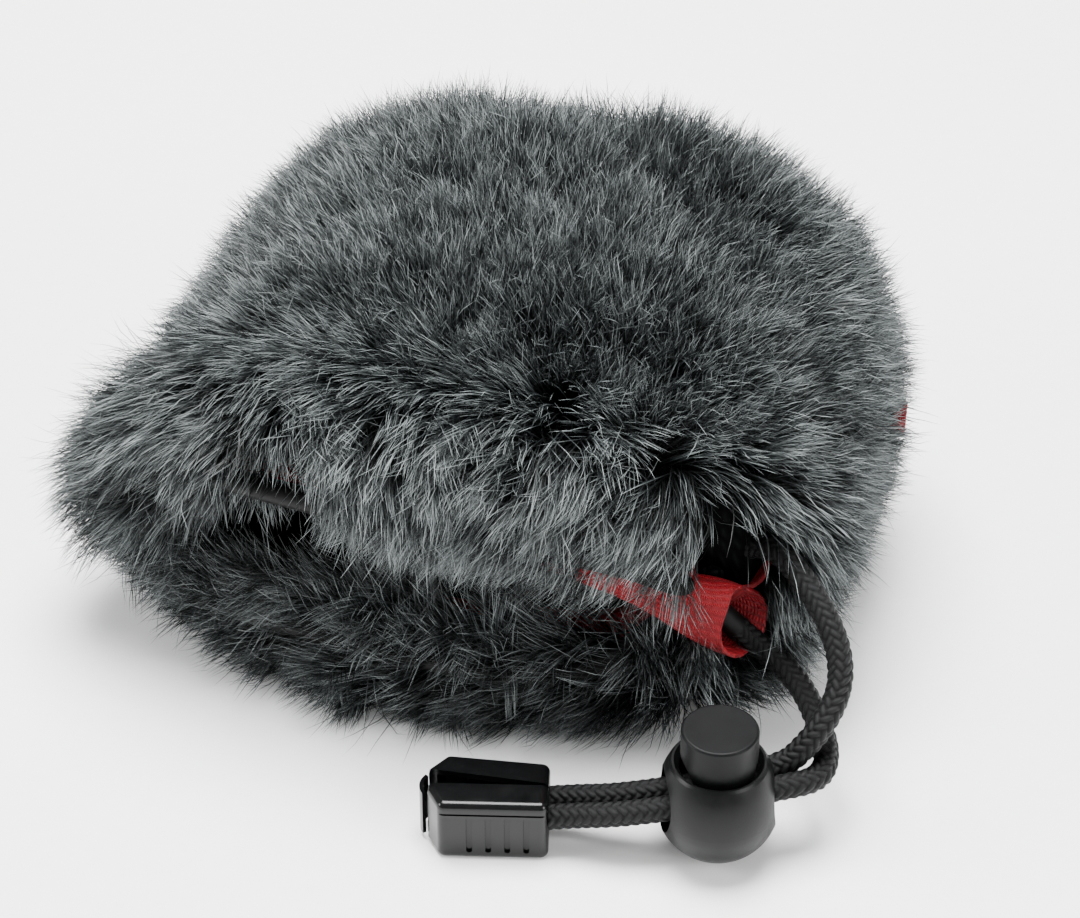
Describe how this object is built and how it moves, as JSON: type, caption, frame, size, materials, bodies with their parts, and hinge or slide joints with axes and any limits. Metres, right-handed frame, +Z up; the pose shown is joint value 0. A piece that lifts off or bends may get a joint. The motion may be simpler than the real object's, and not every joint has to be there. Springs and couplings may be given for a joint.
{
  "type": "furry windscreen",
  "caption": "Fur fabric pouch that covers a small microphone against wind, drawn shut at its mouth by an elastic cord with a spring lock and a hinged cord end.",
  "frame": {"origin": "on the surface that the pouch lies on, under the middle of the pouch without its free cord", "axes": "+Z up, -Y out of the mouth, +X towards the side where the cord comes out"},
  "size_m": [0.1184, 0.1043, 0.062],
  "materials": {
    "pile": "long grey acrylic fur, dark at the root and pale at the tip",
    "knit": "black knitted backing",
    "red_tape": "woven red tape",
    "braid": "black braided elastic cord",
    "satin_plastic": "moulded black plastic with a satin surface",
    "shiny_plastic": "moulded black plastic, polished",
    "spring_steel": "bare spring wire",
    "thread": "black sewing thread"
  },
  "bodies": {
    "windscreen": {"base_fur": "pile", "base_knit": "knit", "left_side_fur": "pile", "left_side_knit": "knit", "right_side_fur": "pile", "right_side_knit": "knit", "lip_fur": "pile", "lip_knit": "knit", "crown_fur": "pile", "crown_knit": "knit", "casing_upper": "red_tape", "casing_lower": "red_tape", "cord_in_casing": "braid", "rear_strand": "braid", "front_strand": "braid", "cord_end_back": "shiny_plastic", "cord_end_strip": "shiny_plastic", "cord_tails": "braid", "seam_tag": "red_tape", "casing_stitches": "thread", "ridge_seam_stitches": "thread"},
    "lock": {"lock_body": "satin_plastic", "lock_spring": "spring_steel"},
    "plunger": {"lock_plunger": "satin_plastic"},
    "cord_end_cover": {"cord_end_front": "shiny_plastic"}
  },
  "joints": [
    {"name": "lock_slide", "type": "slide", "parent": "windscreen", "child": "lock", "axis": [-0.9205, -0.3907, 0], "range_m": [0, 0.0035]},
    {"name": "plunger_press", "type": "slide", "parent": "lock", "child": "plunger", "axis": [0, 0, -1], "range_m": [0, 0.0024], "stiffness_N_per_m": 900, "springref_m": -0.001, "deforming": ["lock_spring"]},
    {"name": "cord_end_hinge", "type": "hinge", "parent": "windscreen", "child": "cord_end_cover", "pos_m": [0.00922, -0.05923, 0.0045], "axis": [0, 0, -1], "range_deg": [0, 100]}
  ]
}
